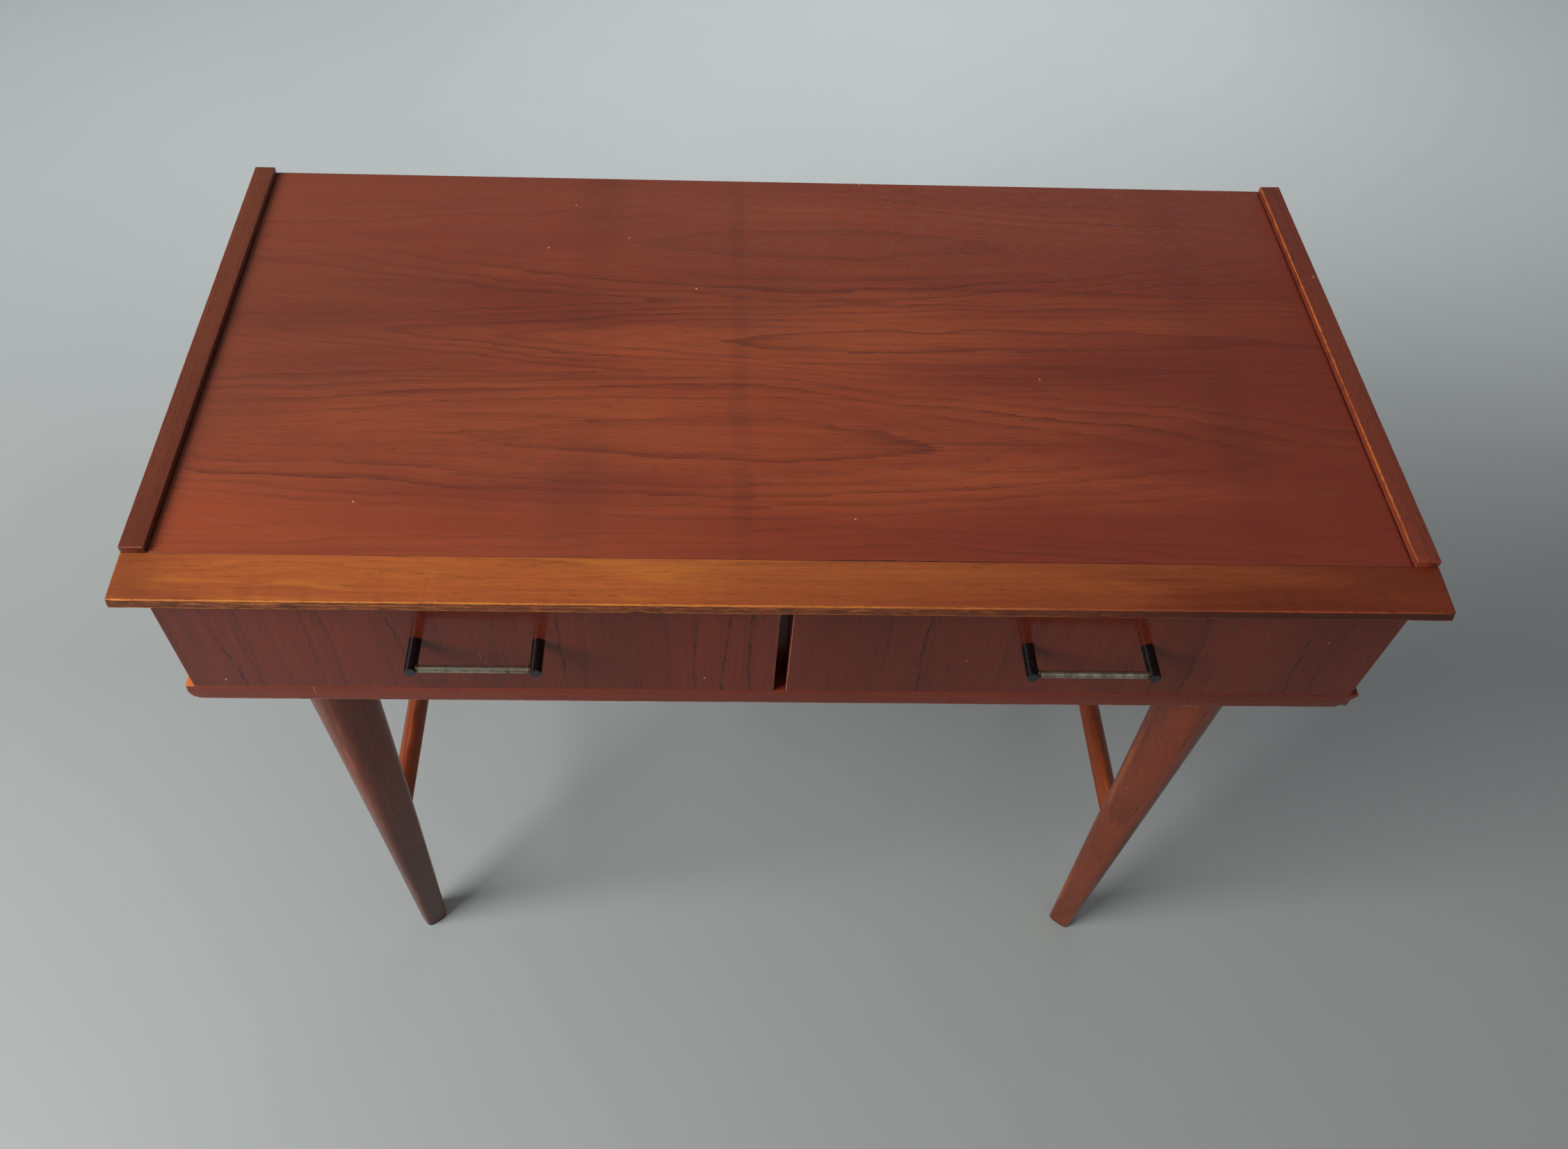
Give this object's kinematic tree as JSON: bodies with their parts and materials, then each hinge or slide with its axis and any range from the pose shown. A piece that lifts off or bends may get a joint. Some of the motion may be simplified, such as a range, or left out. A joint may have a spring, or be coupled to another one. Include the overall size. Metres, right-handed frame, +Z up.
{
  "type": "sewing table",
  "caption": "Small wooden sewing table with side-by-side overlay drawers, bar handles, raised side strips and tapered legs joined front to back by stretchers.",
  "frame": {"origin": "on the floor, under the middle of the overall outline, handles included", "axes": "+X to the right along the table's width, +Y to the back, +Z up"},
  "size_m": [1, 0.528, 0.756],
  "materials": {
    "top_veneer": "satin lacquered veneer, grain across the width",
    "lip_wood": "satin lacquered solid wood, worn front arris",
    "edge_strip_wood": "satin lacquered solid wood, dark stain",
    "drawer_front_veneer": "satin lacquered veneer, upright grain with dark streaks",
    "bottom_board_wood": "satin lacquered solid wood edge",
    "case_veneer": "satin lacquered veneer",
    "back_board": "bare hardboard",
    "leg_wood": "satin lacquered solid wood",
    "stretcher_wood": "satin lacquered solid wood",
    "pale_secondary_wood": "bare pale hardwood",
    "plywood": "bare thin plywood",
    "plate_steel": "zinc plated",
    "fixing_steel": "zinc plated",
    "black_plastic": "glossy black",
    "tarnished_steel": "plated steel, tarnished and dull"
  },
  "bodies": {
    "frame": {"back_panel_pins": "fixing_steel", "case_back_panel": "back_board", "case_bottom_board": "bottom_board_wood", "case_divider": "case_veneer", "case_dowels": "pale_secondary_wood", "case_side_left": "case_veneer", "case_side_right": "case_veneer", "leg_front_left": "leg_wood", "leg_front_right": "leg_wood", "leg_hanger_bolts": "fixing_steel", "leg_plate_front_left": "plate_steel", "leg_plate_front_right": "plate_steel", "leg_plate_rear_left": "plate_steel", "leg_plate_rear_right": "plate_steel", "leg_plate_screws": "fixing_steel", "leg_rear_left": "leg_wood", "leg_rear_right": "leg_wood", "runner_left_inner": "pale_secondary_wood", "runner_left_outer": "pale_secondary_wood", "runner_right_inner": "pale_secondary_wood", "runner_right_outer": "pale_secondary_wood", "runner_screws": "fixing_steel", "stretcher_left": "stretcher_wood", "stretcher_right": "stretcher_wood", "top_edge_strip_left": "edge_strip_wood", "top_edge_strip_right": "edge_strip_wood", "top_fixing_screws": "fixing_steel", "top_front_lip": "lip_wood", "top_panel": "top_veneer", "top_rail_front": "pale_secondary_wood", "top_rail_rear": "pale_secondary_wood"},
    "drawer_left": {"drawer_left_back": "pale_secondary_wood", "drawer_left_bottom": "plywood", "drawer_left_front": "drawer_front_veneer", "drawer_left_handle_post_left": "black_plastic", "drawer_left_handle_post_right": "black_plastic", "drawer_left_handle_rod": "tarnished_steel", "drawer_left_handle_screws": "fixing_steel", "drawer_left_side_inner": "pale_secondary_wood", "drawer_left_side_outer": "pale_secondary_wood"},
    "drawer_right": {"drawer_right_back": "pale_secondary_wood", "drawer_right_bottom": "plywood", "drawer_right_front": "drawer_front_veneer", "drawer_right_handle_post_left": "black_plastic", "drawer_right_handle_post_right": "black_plastic", "drawer_right_handle_rod": "tarnished_steel", "drawer_right_handle_screws": "fixing_steel", "drawer_right_side_inner": "pale_secondary_wood", "drawer_right_side_outer": "pale_secondary_wood"}
  },
  "joints": [
    {"name": "drawer_left_slide", "type": "slide", "parent": "frame", "child": "drawer_left", "axis": [0, -1, 0], "range_m": [0, 0.3]},
    {"name": "drawer_right_slide", "type": "slide", "parent": "frame", "child": "drawer_right", "axis": [0, -1, 0], "range_m": [0, 0.3]}
  ]
}
